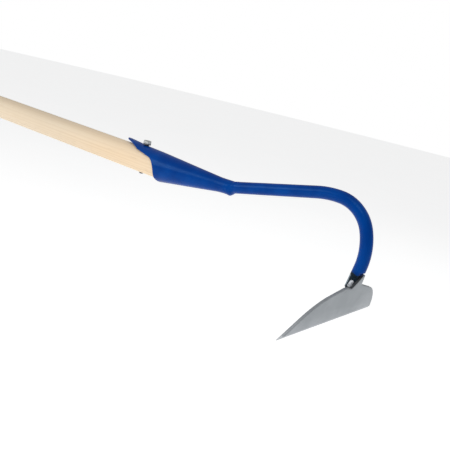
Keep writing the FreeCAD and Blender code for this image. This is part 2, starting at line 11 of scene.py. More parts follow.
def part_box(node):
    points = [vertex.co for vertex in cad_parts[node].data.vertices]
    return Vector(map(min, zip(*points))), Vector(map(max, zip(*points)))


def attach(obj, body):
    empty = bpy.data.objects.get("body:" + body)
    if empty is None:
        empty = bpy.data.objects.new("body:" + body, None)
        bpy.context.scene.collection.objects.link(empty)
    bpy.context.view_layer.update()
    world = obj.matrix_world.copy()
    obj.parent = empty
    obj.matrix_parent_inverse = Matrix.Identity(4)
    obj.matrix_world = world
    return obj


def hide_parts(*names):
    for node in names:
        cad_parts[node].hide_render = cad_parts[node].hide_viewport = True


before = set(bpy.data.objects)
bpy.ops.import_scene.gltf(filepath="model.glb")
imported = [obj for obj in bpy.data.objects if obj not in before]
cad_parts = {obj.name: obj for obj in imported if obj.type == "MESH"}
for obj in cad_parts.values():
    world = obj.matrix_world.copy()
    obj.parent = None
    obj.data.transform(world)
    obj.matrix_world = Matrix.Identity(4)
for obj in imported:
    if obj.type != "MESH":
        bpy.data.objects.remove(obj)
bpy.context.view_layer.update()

mm = 0.001
hoe = "root"  # the one body that every piece rides on
dice = random.Random(11)
scene = bpy.context.scene
forward = Vector((1, 0, 0))
sideways = Vector((0, 1, 0))
upward = Vector((0, 0, 1))
poleLow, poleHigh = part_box("handle")
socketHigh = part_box("socket")[1]
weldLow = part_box("neck_weld")[0]
bladeLow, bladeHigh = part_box("blade")


def report(text):
    print("draw hoe:", text)


# places that several pieces share
head = {
    "lean": math.radians(8.9),  # of the neck's end from upright
    "flat": 3.5 * mm,           # from the neck's axis to the blade's back
    "plate": 2.5 * mm,
    "tang": 13.5 * mm,          # height of the tang above the blade's top
}
tailUp = Vector((math.sin(head["lean"]), 0, math.cos(head["lean"])))
tailOut = Vector((tailUp.z, 0, -tailUp.x))  # out of the blade's face
# where the neck's axis crosses the blade's top, worked out from the tang's upper corners
bladeTop = Vector((
    bladeHigh.x - head["tang"] * tailUp.x - (head["flat"] + head["plate"]) * tailOut.x,
    0,
    bladeHigh.z - head["tang"] * tailUp.z + head["flat"] * tailUp.x,
))


# shader maths
class Field:  # one socket, used in sums like a number
    def __init__(self, shading, socket):
        self.shading = shading
        self.socket = socket

    def maths(self, operation, *values):
        return self.shading.node("Math", {"operation": operation}, dict(enumerate(values)))

    def __add__(self, other):
        return self.maths("ADD", self, other)

    def __radd__(self, other):
        return self.maths("ADD", other, self)

    def __sub__(self, other):
        return self.maths("SUBTRACT", self, other)

    def __rsub__(self, other):
        return self.maths("SUBTRACT", other, self)

    def __mul__(self, other):
        return self.maths("MULTIPLY", self, other)

    def __rmul__(self, other):
        return self.maths("MULTIPLY", other, self)

    def __truediv__(self, other):
        return self.maths("DIVIDE", self, other)

    def __rtruediv__(self, other):
        return self.maths("DIVIDE", other, self)

    def root(self):
        return self.maths("POWER", self, 0.5)

    def fraction(self):
        return self.maths("FRACT", self)

    def size(self):
        return self.maths("ABSOLUTE", self)

    def step(self, low, high, start=0.0, end=1.0):  # smooth change from start to end
        settings = {"interpolation_type": "SMOOTHSTEP"}
        sockets = {"Value": self, "From Min": low, "From Max": high, "To Min": start, "To Max": end}
        return self.shading.node("MapRange", settings, sockets)


class Shading:  # the nodes of one material, or of the sky
    def __init__(self, tree):
        self.tree = tree

    def feed(self, socket, value):
        if isinstance(value, Field):
            self.tree.links.new(value.socket, socket)
        else:
            socket.default_value = value

    def node(self, kind, settings=None, sockets=None, out=0):
        made = self.tree.nodes.new("ShaderNode" + kind)
        for key, value in (settings or {}).items():
            setattr(made, key, value)
        for key, value in (sockets or {}).items():
            self.feed(made.inputs[key], value)
        return Field(self, made.outputs[out])


class Finish(Shading):  # one material, built on the Principled shader
    def __init__(self, name, **constants):
        self.material = bpy.data.materials.new(name)
        self.material.use_nodes = True
        super().__init__(self.material.node_tree)
        self.shader = self.tree.nodes["Principled BSDF"]
        for socket, value in constants.items():
            self.use(socket.replace("_", " "), value)

    def use(self, socket, value):
        self.feed(self.shader.inputs[socket], value)

    def position(self):
        return self.node("TexCoord", out=3)

    def axis(self, letter):
        return self.node("SeparateXYZ", None, {0: self.position()}, "XYZ".index(letter))

    def beyond(self, start, direction):  # distance past start, in a direction in the plane of X and Z
        return (self.axis("X") - start.x) * direction.x + (self.axis("Z") - start.z) * direction.z

    def noise(self, scale, stretch=(1, 1, 1), detail=3.0, roughness=0.5):
        stretched = self.node("VectorMath", {"operation": "MULTIPLY"}, {0: self.position(), 1: stretch})
        sockets = {"Vector": stretched, "Scale": scale, "Detail": detail, "Roughness": roughness}
        return self.node("TexNoise", None, sockets)

    def mix(self, mask, first, second):  # colours
        return self.node("Mix", {"data_type": "RGBA"}, {0: mask, 6: first, 7: second}, 2)

    def bump(self, height, distance, strength):
        sockets = {"Strength": strength, "Distance": distance, "Height": height}
        self.use("Normal", self.node("Bump", None, sockets))


def linear(red, green, blue):  # a colour as a painter would mix it, 0 to 255
    def channel(value):
        share = value / 255
        return share / 12.92 if share <= 0.04045 else ((share + 0.055) / 1.055) ** 2.4
    return (channel(red), channel(green), channel(blue), 1.0)


# mesh helpers
def makePiece(name, points, faces, smoothBelow=35):
    mesh = bpy.data.meshes.new(name)
    mesh.from_pydata(points, [], faces)
    tidy = bmesh.new()
    tidy.from_mesh(mesh)
    bmesh.ops.remove_doubles(tidy, verts=tidy.verts, dist=1e-7)
    bmesh.ops.recalc_face_normals(tidy, faces=tidy.faces)
    tidy.to_mesh(mesh)
    tidy.free()
    piece = bpy.data.objects.new(name, mesh)
    scene.collection.objects.link(piece)
    mesh.shade_smooth()
    mesh.set_sharp_from_angle(angle=math.radians(smoothBelow))
    return piece


def skin(name, rings, smoothBelow=35):  # a capped surface through rings of points
    count = len(rings[0])
    points = [point for ring in rings for point in ring]
    faces = []
    for row in range(len(rings) - 1):
        for i in range(count):
            j = (i + 1) % count
            faces.append((row * count + i, row * count + j, (row + 1) * count + j, (row + 1) * count + i))
    faces.append(tuple(range(count)))
    faces.append(tuple(range(len(points) - count, len(points))))
    return makePiece(name, points, faces, smoothBelow)


def applyAll(piece):  # settles the modifiers into the mesh
    graph = bpy.context.evaluated_depsgraph_get()
    mesh = bpy.data.meshes.new_from_object(piece.evaluated_get(graph))
    piece.modifiers.clear()
    piece.data = mesh
    piece.data.name = piece.name


def circle(centre, first, second, radius, turns):  # a ring of points; first and second span its plane
    ring = []
    for i in range(turns):
        angle = math.tau * i / turns
        ring.append(centre + first * (radius * math.cos(angle)) + second * (radius * math.sin(angle)))
    return ring


def drill(piece, x, radius, low, high, turns=48):  # an upright hole on the pole's axis
    bit = skin("bit", [circle(Vector((x, 0, z)), forward, sideways, radius, turns) for z in (low, high)])
    cut = piece.modifiers.new("hole", "BOOLEAN")
    cut.operation = "DIFFERENCE"
    cut.object = bit
    cut.solver = "EXACT"
    applyAll(piece)
    bpy.data.objects.remove(bit)


def softenEdges(piece, width, steps, sharperThan):
    bevel = piece.modifiers.new("edges", "BEVEL")
    bevel.width = width
    bevel.segments = steps
    bevel.limit_method = "ANGLE"
    bevel.angle_limit = math.radians(sharperThan)
    bevel.harden_normals = False
    applyAll(piece)
    piece.data.shade_smooth()
    piece.data.set_sharp_from_angle(angle=math.radians(sharperThan))


def cleanCopy(name, node):  # the CAD node's shape with its flat faces made whole, for softening
    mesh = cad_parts[node].data.copy()
    piece = bpy.data.objects.new(name, mesh)
    scene.collection.objects.link(piece)
    mesh.materials.clear()
    tidy = bmesh.new()
    tidy.from_mesh(mesh)
    bmesh.ops.remove_doubles(tidy, verts=tidy.verts, dist=1e-6)
    bmesh.ops.dissolve_limit(tidy, angle_limit=math.radians(0.5), verts=tidy.verts, edges=tidy.edges)
    bmesh.ops.recalc_face_normals(tidy, faces=tidy.faces)
    tidy.to_mesh(mesh)
    tidy.free()
    custom = mesh.attributes.get("custom_normal")
    if custom:
        mesh.attributes.remove(custom)
    return piece


def mount(piece, finish, slot, *nodes):
    piece.data.materials.clear()
    piece.data.materials.append(finish.material)
    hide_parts(*nodes)
    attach(piece, hoe)


def bend(x, corner, ease):  # 0 before the corner and x - corner after it, eased over both sides
    past = x - corner
    if abs(past) >= ease:
        return max(past, 0)
    return (past + ease) ** 2 / (4 * ease)


# finishes
ash = {
    "pale": linear(240, 221, 193),
    "warm": linear(234, 208, 173),
    "late": linear(208, 175, 133),
    "pore": linear(164, 126, 82),
    "grey": linear(198, 184, 162),
    "ringWidth": 2.6 * mm,
    "pith": (0.021, -0.034),  # Y and Z of the tree's heart, beside the pole
    "swirl": 6 * mm,          # how far the rings wander
    "handled": (-0.14, 0.03, 0.4, 0.0),  # X where the greying starts and ends, and its strength there
}


def ashWood():
    wood = Finish("ash_wood", Roughness=0.55, Coat_Weight=0.12, Coat_Roughness=0.35)
    swirl = wood.noise(7.0, (0.25, 1, 1), 2.0)
    lift = wood.noise(5.0, (0.3, 1, 1), 2.0)
    across = wood.axis("Y") - ash["pith"][0] + (swirl - 0.5) * ash["swirl"]
    above = wood.axis("Z") - ash["pith"][1] + (lift - 0.5) * ash["swirl"]
    ring = ((across * across + above * above).root() / ash["ringWidth"]).fraction()
    late = ring.step(0.35, 0.9) * ring.step(0.9, 0.99, 1.0, 0.0)
    streak = wood.noise(420.0, (0.02, 1, 1), 3.0, 0.6)
    patch = wood.noise(9.0, (0.35, 1, 1), 3.0)
    pores = wood.noise(1500.0, (0.035, 1, 1), 1.0).step(0.62, 0.72) * (1 - ring.step(0.02, 0.3))
    colour = wood.mix(patch.step(0.35, 0.7), ash["pale"], ash["warm"])
    colour = wood.mix(late * 0.3 * streak.step(0.2, 0.7, 0.5, 1.0), colour, ash["late"])
    colour = wood.mix(streak.step(0.45, 0.8, 0.0, 0.16), colour, ash["late"])
    colour = wood.mix(pores * 0.4, colour, ash["pore"])
    handled = wood.axis("X").step(*ash["handled"])
    wood.use("Base Color", wood.mix(handled, colour, ash["grey"]))
    wood.use("Roughness", 0.5 + streak * 0.18)
    wood.bump(streak * 0.5 - pores * 0.8 + late * 0.2, 0.12 * mm, 0.5)
    return wood


enamel = {
    "deep": linear(0, 52, 130),
    "thin": linear(0, 62, 143),
    "edge": linear(4, 38, 98),
    "burnt": linear(32, 38, 46),
    # black of heat scale on the bar; the blade and the weld beads also use it for painted shadow
    "scale": linear(14, 20, 26),
    "bare": linear(170, 175, 179),
    "sheen": linear(120, 215, 255),        # tint of the reflections
    "shine": 0.14,
    "coat": 0.02,
    "paintFrom": (11.6 * mm, 12.4 * mm),   # where things start and end, above the blade's top
    "scorchedTo": (12.2 * mm, 17.0 * mm),
    "bareTo": (8.0 * mm, 10.5 * mm),
    "bareFrom": (-1.8 * mm, -0.8 * mm),
    "bareBack": (-4.2 * mm, -3.2 * mm),    # from the neck's axis towards its back
}


def enamelPaint(finish):  # colour, roughness and height of the paint
    flow = finish.noise(55.0, detail=2.0)
    peel = finish.noise(520.0, detail=2.0)
    dust = finish.noise(2400.0, detail=1.0).step(0.66, 0.74)
    colour = finish.mix(flow.step(0.3, 0.72), enamel["deep"], enamel["thin"])
    colour = finish.mix(dust * 0.25, colour, enamel["edge"])
    return colour, 0.24 + peel * 0.1 + dust * 0.12, peel * 0.35 + flow * 0.65 + dust * 0.25


def blueEnamel():
    paint = Finish("blue_enamel", Specular_IOR_Level=enamel["shine"], Specular_Tint=enamel["sheen"],
                   Coat_Weight=enamel["coat"], Coat_Roughness=0.12)
    colour, roughness, height = enamelPaint(paint)
    paint.use("Base Color", colour)
    paint.use("Roughness", roughness)
    paint.bump(height, 0.1 * mm, 0.6)
    return paint


def burntBar():  # enamel that stops in a scorched band and bare steel where the blade is welded on
    steelBar = Finish("blue_enamel_bar", Specular_IOR_Level=enamel["shine"],
                      Specular_Tint=enamel["sheen"], Coat_Roughness=0.12)
    colour, roughness, height = enamelPaint(steelBar)
    along = steelBar.beyond(bladeTop, tailUp)
    outward = steelBar.beyond(bladeTop, tailOut)
    ragged = steelBar.noise(210.0, detail=4.0, roughness=0.6) - 0.5
    blister = steelBar.noise(900.0, detail=3.0)
    line = along + ragged * 0.006
    painted = line.step(*enamel["paintFrom"])
    scorched = line.step(*enamel["scorchedTo"], 0.75, 0.0)
    bare = (along + ragged * 0.01).step(*enamel["bareTo"], 1.0, 0.0)
    bare = bare * (outward + ragged * 0.003).step(*enamel["bareBack"], 1.0, 0.0)
    bare = bare * (along + ragged * 0.004).step(*enamel["bareFrom"]) * blister.step(0.2, 0.5)
    scale = steelBar.mix(blister.step(0.35, 0.7), enamel["scale"], enamel["burnt"])
    scale = steelBar.mix(bare, scale, enamel["bare"])
    colour = steelBar.mix(scorched, colour, enamel["edge"])
    steelBar.use("Base Color", steelBar.mix(painted, scale, colour))
    steelBar.use("Metallic", bare * (1 - painted) * 0.8)
    steelBar.use("Roughness", (0.62 - blister * 0.15) * (1 - painted) + roughness * painted)
    steelBar.use("Coat Weight", painted * enamel["coat"])
    steelBar.bump(height * painted * 0.6 + blister * (1 - painted) + painted * 0.9, 0.15 * mm, 0.6)
    return steelBar


steel = {
    "light": linear(174, 178, 182),
    "dark": linear(160, 165, 169),
    "mill": linear(92, 99, 101),
    "ground": linear(196, 199, 202),
    "groundFrom": 27.2 * mm,  # below the blade's top
    "backSkin": 0.5 * mm,     # depth that counts as the blade's back
    "sootShadowWide": (12.5 * mm, 15 * mm),   # weld soot and painted shadow on the blade's top edge: to each side of the neck
    "sootShadowTipSide": (0.5 * mm, 2 * mm),  # Y where it stops, so that it keeps to the tip's side
    "sootShadowDepth": (5.6 * mm, 5.9 * mm),  # from the neck's axis, just short of the blade's face
    "sootShadowFrom": (-1.5 * mm, 0.5 * mm),  # above the blade's top
}


def bladeSteel():
    metal = Finish("blade_steel")
    height = metal.beyond(bladeTop, tailUp)
    depth = metal.beyond(bladeTop, tailOut)
    cloud = metal.noise(28.0, detail=4.0)
    stain = metal.noise(75.0, detail=5.0, roughness=0.65)
    lines = metal.noise(60.0, (0.4, 60, 1.2), 3.0)
    brushed = metal.noise(30.0, (60, 0.7, 60), 4.0, 0.6)
    colour = metal.mix(cloud.step(0.3, 0.7), steel["light"], steel["dark"])
    colour = metal.mix(stain.step(0.55, 0.8, 0.0, 0.25), colour, steel["mill"])
    back = depth.step(head["flat"] + 0.1 * mm, head["flat"] + steel["backSkin"], 1.0, 0.0)
    colour = metal.mix(back * 0.5, colour, steel["mill"])
    # partly weld soot, partly painted shadow of the tack and the neck's end: near black on the blade's
    # top edge beside the neck
    sootShadow = metal.axis("Y").size().step(*steel["sootShadowWide"], 1.0, 0.0)
    sootShadow = sootShadow * metal.axis("Y").step(*steel["sootShadowTipSide"], 1.0, 0.0)
    sootShadow = sootShadow * (depth + (stain - 0.5) * 0.0006).step(*steel["sootShadowDepth"], 1.0, 0.0)
    sootShadow = sootShadow * height.step(*steel["sootShadowFrom"])
    colour = metal.mix(sootShadow * 0.92, colour, enamel["scale"])
    ground = (height + steel["groundFrom"]).step(-0.15 * mm, 0.15 * mm, 1.0, 0.0)
    colour = metal.mix(ground * 0.6, colour, steel["ground"])
    metal.use("Base Color", colour)
    metal.use("Metallic", 0.85 - sootShadow * 0.6)
    metal.use("Roughness", 0.52 + brushed * 0.14 - ground * 0.1 + stain * 0.06)
    metal.bump(brushed * 0.5 + lines * ground + stain * 0.3, 0.05 * mm, 0.55)
    return metal


weldColours = {
    "light": linear(206, 209, 214),
    "dark": linear(160, 165, 172),
    "sootShadowTo": (1.2 * mm, 3.0 * mm),  # weld soot and painted shadow at the bead's foot: above the bead's lower end
}


def weldMetal():
    weld = Finish("weld_metal")
    grit = weld.noise(700.0, detail=4.0, roughness=0.6)
    heat = weld.noise(160.0, detail=2.0)
    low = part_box("blade_weld_tip_side")[0].z
    # the bead's lowest few millimetres darkened: partly weld soot, partly painted shadow between bead and
    # blade; the random heat spots are real heat tint
    sootShadow = (weld.axis("Z") - low + (heat - 0.5) * 0.002).step(*weldColours["sootShadowTo"], 1.0, 0.0)
    sootShadow = sootShadow * 0.9 + heat.step(0.62, 0.75) * 0.35
    colour = weld.mix(grit.step(0.3, 0.7), weldColours["light"], weldColours["dark"])
    weld.use("Base Color", weld.mix(sootShadow, colour, enamel["scale"]))
    weld.use("Metallic", 0.75 - sootShadow * 0.6)
    weld.use("Roughness", 0.34 + grit * 0.2 + sootShadow * 0.2)
    weld.bump(grit, 0.12 * mm, 0.5)
    return weld


woodFinish = ashWood()
blueFinish = blueEnamel()
barFinish = burntBar()
steelFinish = bladeSteel()
weldFinish = weldMetal()
report("wood, paint and steel finishes mixed")


# ash pole
pole = {
    "radius": 14 * mm,
    "butt": 9 * mm,       # rounding of the far end
    "ease": 0.1 * mm,     # thinner towards the head
    "taperAt": 58 * mm,
    "endRadius": 7.69 * mm,
    "endRise": 2.88 * mm,
    "wander": 0.12 * mm,  # unevenness of the turning
    "wanders": 14,        # to the metre
    "calm": 40 * mm,      # over this length it dies out towards the socket
    "turns": 96,
    "buttRows": 12,
    "rows": 180,
    "screwAt": 30.5 * mm,
    "screwHole": 2.55 * mm,
}


def makePole():
    rows = []  # place along the pole, radius, height of the centre
    for i in range(pole["buttRows"] + 1):
        angle = math.pi / 2 * i / pole["buttRows"]
        rows.append((poleLow.x + pole["butt"] * (1 - math.cos(angle)),
                     pole["radius"] - pole["butt"] * (1 - math.sin(angle)), 0))
    start = rows[-1][0]
    for i in range(1, pole["rows"] + 1):
        x = start * (1 - i / pole["rows"])
        wander = noise.noise(Vector((x * pole["wanders"], 0.7, 0))) * pole["wander"]
        rows.append((x, pole["radius"] + wander * min(1, -x / pole["calm"]), 0))
    rows.append((pole["taperAt"], pole["radius"] - pole["ease"], 0))
    rows.append((poleHigh.x, pole["endRadius"], pole["endRise"]))
    rings = [circle(Vector((x, 0, z)), sideways, upward, radius, pole["turns"]) for x, radius, z in rows]
    piece = skin("ash_pole", rings)
    through = 2 * pole["radius"]
    drill(piece, pole["screwAt"], pole["screwHole"], -through, through)
    piece.data.set_sharp_from_angle(angle=math.radians(35))
    mount(piece, woodFinish, "ash_wood", "handle")


makePole()
report("ash pole turned")


# the socket: sheet rolled round the pole, open along a seam below, with a tongue on top
wrap = {
    "sheet": 1.4 * mm,     # thickness
    "wide": 14.95 * mm,    # inner radius over the pole
    "tight": 6.25 * mm,    # and where the collar begins
    "narrowing": 0.2 * mm,  # of the collar
    "tip": 2 * mm,         # of the tongue
    "lift": 2.6 * mm,      # off the wood, at the origin
    "bendAt": 34 * mm,
    "coneAt": 58 * mm,
    "drop": 0.8 * mm,      # of the sheet's axis, where the cone begins
    "collar": 10 * mm,     # length
    "rise": 3.7 * mm,      # of the axis, where the collar begins
    "slope": math.radians(3.1),  # of the collar
    "nose": 3.2 * mm,      # rounding of the tongue's tip
    "halfAngle": math.radians(20.5),  # of the tongue's sides
    "tongue": 26 * mm,     # where the sides end
    "step": 0.1 * mm,      # from there down to the mouth's sloping edge
    "mouthSlope": math.radians(10.8),
    "mouthAt": 60 * mm,    # where the sloping edge turns down
    "upright": 3.2 * mm,   # straight stretch down
    "corner": 8 * mm,      # radius of the corner under it
    "dip": 2.08 * mm,      # of that corner's end, below the sheet
    "seam": 1.2 * mm,      # width of the open seam
    "ease": 5 * mm,        # how softly the sheet bends from one part to the next
    "dent": 0.07 * mm,     # unevenness of the rolling
    "dents": (40, 1.1),    # to the metre, and to the radian
    "hole": 2.7 * mm,
    "lip": 0.35 * mm,      # rounding of the edges
    "lipSteps": 3,
    "sharperThan": 50,     # degrees between the faces of an edge that is rounded
    "curveSteps": 24,
    "sideSteps": 12,
    "cornerSteps": 48,
    "edgeSteps": 120,
    "rows": 64,
}
collarAt = socketHigh.x - wrap["collar"]
coneSlope = (wrap["tight"] - wrap["wide"]) / (collarAt - wrap["coneAt"])
collarSlope = -wrap["narrowing"] / wrap["collar"]


def sheetRadius(x):  # of the outside
    return (wrap["wide"] + wrap["sheet"] + coneSlope * bend(x, wrap["coneAt"], wrap["ease"])
            + (collarSlope - coneSlope) * bend(x, collarAt, wrap["ease"]))


def sheetHeight(x):  # of the sheet's axis
    slopes = (-wrap["lift"] / wrap["bendAt"], -wrap["drop"] / (wrap["coneAt"] - wrap["bendAt"]),
              (wrap["rise"] + wrap["drop"]) / (collarAt - wrap["coneAt"]), math.tan(wrap["slope"]))
    height = wrap["lift"] + slopes[0] * x
    for i, corner in enumerate((wrap["bendAt"], wrap["coneAt"], collarAt)):
        height += (slopes[i + 1] - slopes[i]) * bend(x, corner, wrap["ease"])
    return height


def seamAngle(x):
    return math.pi - math.asin(wrap["seam"] / 2 / sheetRadius(x))


def sheetPoint(x, angle, depth):
    along, around = wrap["dents"]
    dent = noise.noise(Vector((x * along, angle * around, 2.5))) * wrap["dent"]
    radius = sheetRadius(x) - depth + dent
    return Vector((x, radius * math.sin(angle), sheetHeight(x) + radius * math.cos(angle)))


def mouthEdge():  # one side of the sheet's front edge, from the tongue's tip to the seam: x and angle
    edge = []
    nose, half, slope, corner = wrap["nose"], wrap["halfAngle"], wrap["mouthSlope"], wrap["corner"]
    steps = wrap["curveSteps"]
    for i in range(steps + 1):
        turn = math.pi - (math.pi / 2 - half) * i / steps
        x = wrap["tip"] + nose * (1 + math.cos(turn))
        edge.append((x, math.asin(nose * math.sin(turn) / sheetRadius(x))))
    start = wrap["tip"] + nose * (1 - math.sin(half))
    for i in range(1, steps + 1):
        x = start + (wrap["tongue"] - start) * i / steps
        width = nose / math.cos(half) + (x - wrap["tip"] - nose) * math.tan(half)
        edge.append((x, math.asin(width / sheetRadius(x))))
    outside = wrap["wide"] + wrap["sheet"]
    side = (math.sqrt(outside ** 2 - width ** 2) - wrap["step"]
            + wrap["lift"] * (1 - wrap["tongue"] / wrap["bendAt"]))
    fall = (wrap["mouthAt"] - wrap["tongue"]) * math.tan(slope)
    tangent = side - fall + outside - (wrap["upright"] + corner - wrap["dip"])
    rounding = tangent / math.tan((math.pi / 2 - slope) / 2)
    line = []  # x and height, as seen from the side
    first = wrap["mouthAt"] - tangent * math.cos(slope)
    for i in range(1, wrap["sideSteps"] + 1):
        x = wrap["tongue"] + (first - wrap["tongue"]) * i / wrap["sideSteps"]
        line.append((x, side - (x - wrap["tongue"]) * math.tan(slope)))
    centre = (line[-1][0] - rounding * math.sin(slope), line[-1][1] - rounding * math.cos(slope))
    for i in range(1, steps + 1):
        turn = slope + (math.pi / 2 - slope) * i / steps
        line.append((centre[0] + rounding * math.sin(turn), centre[1] + rounding * math.cos(turn)))
    line.append((line[-1][0], line[-1][1] - wrap["upright"]))
    centre = (line[-1][0] + corner, line[-1][1])
    for i in range(1, wrap["cornerSteps"] + 1):
        turn = math.pi / 2 * i / wrap["cornerSteps"]
        line.append((centre[0] - corner * math.cos(turn), centre[1] - corner * math.sin(turn)))
    for x, z in line:
        cosine = (z - sheetHeight(x)) / sheetRadius(x)
        if cosine <= math.cos(seamAngle(x)):
            break
        edge.append((x, math.acos(cosine)))
    edge.append((x, seamAngle(x)))
    return edge


def evenly(edge, steps):  # the same edge in equal steps
    girth = wrap["wide"] + wrap["sheet"]
    lengths = [0]
    for (x0, a0), (x1, a1) in zip(edge, edge[1:]):
        lengths.append(lengths[-1] + math.hypot(x1 - x0, (a1 - a0) * girth))
    points, i = [], 0
    for k in range(steps + 1):
        wanted = lengths[-1] * k / steps
        while i < len(edge) - 2 and lengths[i + 1] < wanted:
            i += 1
        share = (wanted - lengths[i]) / (lengths[i + 1] - lengths[i])
        points.append(tuple(p + (q - p) * share for p, q in zip(edge[i], edge[i + 1])))
    return points


def makeSocket():
    half = evenly(mouthEdge(), wrap["edgeSteps"])
    edge = [(x, -angle) for x, angle in reversed(half[1:])] + half
    rows, count = wrap["rows"], len(edge)
    points = []
    for depth in (0, wrap["sheet"]):
        for x0, angle in edge:
            for j in range(rows + 1):
                x = x0 + (socketHigh.x - x0) * j / rows
                points.append(sheetPoint(x, angle * seamAngle(x) / seamAngle(x0), depth))
    layer = count * (rows + 1)
    faces = []

    def at(k, i, j):  # point j along the sheet, i round its edge, on the outside or the inside
        return k * layer + i * (rows + 1) + j

    for i in range(count - 1):
        for j in range(rows):
            for k in (0, 1):
                faces.append((at(k, i, j), at(k, i + 1, j), at(k, i + 1, j + 1), at(k, i, j + 1)))
        for j in (0, rows):
            faces.append((at(0, i, j), at(0, i + 1, j), at(1, i + 1, j), at(1, i, j)))
    for j in range(rows):
        for i in (0, count - 1):
            faces.append((at(0, i, j), at(0, i, j + 1), at(1, i, j + 1), at(1, i, j)))
    piece = makePiece("rolled_socket", points, faces)
    drill(piece, pole["screwAt"], wrap["hole"], 0, 2 * wrap["wide"])
    softenEdges(piece, wrap["lip"], wrap["lipSteps"], wrap["sharperThan"])
    mount(piece, blueFinish, "blue_enamel", "socket")


makeSocket()
report("socket rolled")


# the neck: a round bar bent in one plane
bar = {
    "radius": 6 * mm,
    "root": 19.3 * mm,    # inside the socket
    "out": 0.3 * mm,      # of the root beyond the collar
    "bends": [            # straight run before it and radius, in millimetres, and degrees to the left
        (19.3, 12, 11),
        (99, 90, -16),
        (0, 36, -65),
        (0, 62, -32),
    ],
    "tail": 20.5,         # straight run after the last bend
    "flatMargin": 1 * mm,  # of the flat for the blade, above the tang
    "endRound": 0.5 * mm,
    "endRows": 4,
    "runStep": 3,         # millimetres
    "bendStep": 1.5,      # degrees
    "tailRows": 14,
    "turns": 64,
    "draw": 0.04 * mm,    # unevenness of the drawn bar
    "draws": 60,          # to the metre
}
# height of the bar's axis where it leaves the collar
neckRise = wrap["rise"] + (wrap["collar"] + bar["out"]) * math.tan(wrap["slope"])


def neckLine():  # centres and headings along the bar
    heading = wrap["slope"]
    start = Vector((socketHigh.x + bar["out"] - bar["root"] * math.cos(heading), 0,
                    neckRise - bar["root"] * math.sin(heading)))
    stops = [(start, heading)]

    def ahead(length, turn, steps):
        place, angle = stops[-1]
        for i in range(steps):
            angle += turn / steps
            middle = angle - turn / steps / 2
            chord = length / steps
            place = place + Vector((math.cos(middle), 0, math.sin(middle))) * chord
            stops.append((place, angle))

    for run, radius, degrees in bar["bends"]:
        if run:
            ahead(run * mm, 0, round(run / bar["runStep"]))
        turn = math.radians(degrees)
        steps = max(8, round(abs(degrees) / bar["bendStep"]))
        chord = 2 * radius * mm * math.sin(abs(turn) / steps / 2)
        ahead(chord * steps, turn, steps)
    ahead(bar["tail"] * mm, 0, bar["tailRows"])
    return stops


def makeNeck():
    stops = neckLine()
    last, heading = stops[-1]
    onward = Vector((math.cos(heading), 0, math.sin(heading)))
    rows = [(place, angle, bar["radius"]) for place, angle in stops[:-1]]
    for i in range(bar["endRows"] + 1):
        turn = math.pi / 2 * i / bar["endRows"]
        rows.append((last - onward * bar["endRound"] * (1 - math.sin(turn)), heading,
                     bar["radius"] - bar["endRound"] * (1 - math.cos(turn))))
    flatTo = head["tang"] + bar["flatMargin"]
    rings = []
    for place, angle, radius in rows:
        outward = Vector((-math.sin(angle), 0, math.cos(angle)))
        nearBlade = place.x > bladeTop.x - head["tang"]
        ring = circle(place, sideways, outward, radius, bar["turns"])
        for i, point in enumerate(ring):
            uneven = noise.noise(point * bar["draws"]) * bar["draw"]
            point = point + (point - place).normalized() * uneven
            offset = point - bladeTop
            proud = offset.dot(tailOut) - head["flat"]
            if proud > 0 and nearBlade and offset.dot(tailUp) < flatTo:
                point = point - tailOut * proud
            ring[i] = point
        rings.append(ring)
    piece = skin("neck_bar", rings)
    mount(piece, barFinish, "blue_enamel_bar", "neck")


makeNeck()
report("neck bent")


# the blade: a flat plate with a tang, its edges dressed and its cutting edge ground
bladeEdges = {
    "dressed": 0.22 * mm,  # rounding
    "steps": 2,
    "sharperThan": 32,     # degrees between the faces of an edge that is dressed
}


def makeBlade():
    piece = cleanCopy("hoe_blade", "blade")
    softenEdges(piece, bladeEdges["dressed"], bladeEdges["steps"], bladeEdges["sharperThan"])
    mount(piece, steelFinish, "blade_steel", "blade")


makeBlade()
report("blade ground")


# the screw through the tongue: a chamfered hexagon on a threaded shank
screw = {
    "across": 8 * mm,       # flats
    "head": 4.4 * mm,
    "chamfer": 0.15 * mm,   # inside the flats at the top
    "chamferSlope": math.radians(30),
    "soft": 0.2 * mm,       # rounding of the head's foot
    "turned": math.radians(19),
    "softRows": 8,
    "chamferRows": 12,
    "radius": 2.5 * mm,
    "pitch": 1.1 * mm,
    "thread": 0.35 * mm,
    "point": 0.8 * mm,      # narrowing of the end
    "rowsPerTurn": 8,
    "turns": 96,
}


zincColours = {
    "light": linear(206, 208, 206),
    "dark": linear(178, 181, 178),
    "dull": linear(110, 112, 108),
    # dark blue of the head's lower part: painted shadow and painted reflection of the blue tongue
    "footShade": linear(22, 30, 58),
    "footShadeTo": (0.8 * mm, 2.0 * mm),  # painted shadow and painted reflection of the blue tongue, above the head's foot
}


def zincPlate(foot):
    zinc = Finish("zinc_plate", Metallic=0.9)
    spangle = zinc.noise(900.0, detail=3.0)
    dull = zinc.noise(260.0, detail=3.0)
    colour = zinc.mix(spangle.step(0.35, 0.65), zincColours["light"], zincColours["dark"])
    colour = zinc.mix(dull.step(0.55, 0.75, 0.0, 0.5), colour, zincColours["dull"])
    # painted shadow and painted reflection of the blue tongue, darkest at the head's foot
    footShade = zinc.axis("Z") - foot + (dull - 0.5) * 0.0006
    footShade = footShade.step(*zincColours["footShadeTo"], 0.85, 0.0)
    zinc.use("Base Color", zinc.mix(footShade, colour, zincColours["footShade"]))
    zinc.use("Roughness", 0.32 + dull * 0.2)
    zinc.bump(spangle, 0.04 * mm, 0.4)
    return zinc


def levelRing(z, radiusAt):  # round the screw's axis, with a radius that depends on the angle
    ring = []
    for k in range(screw["turns"]):
        angle = math.tau * k / screw["turns"]
        radius = radiusAt(angle)
        point = Vector((radius * math.cos(angle), radius * math.sin(angle), z))
        ring.append(forward * pole["screwAt"] + point)
    return ring


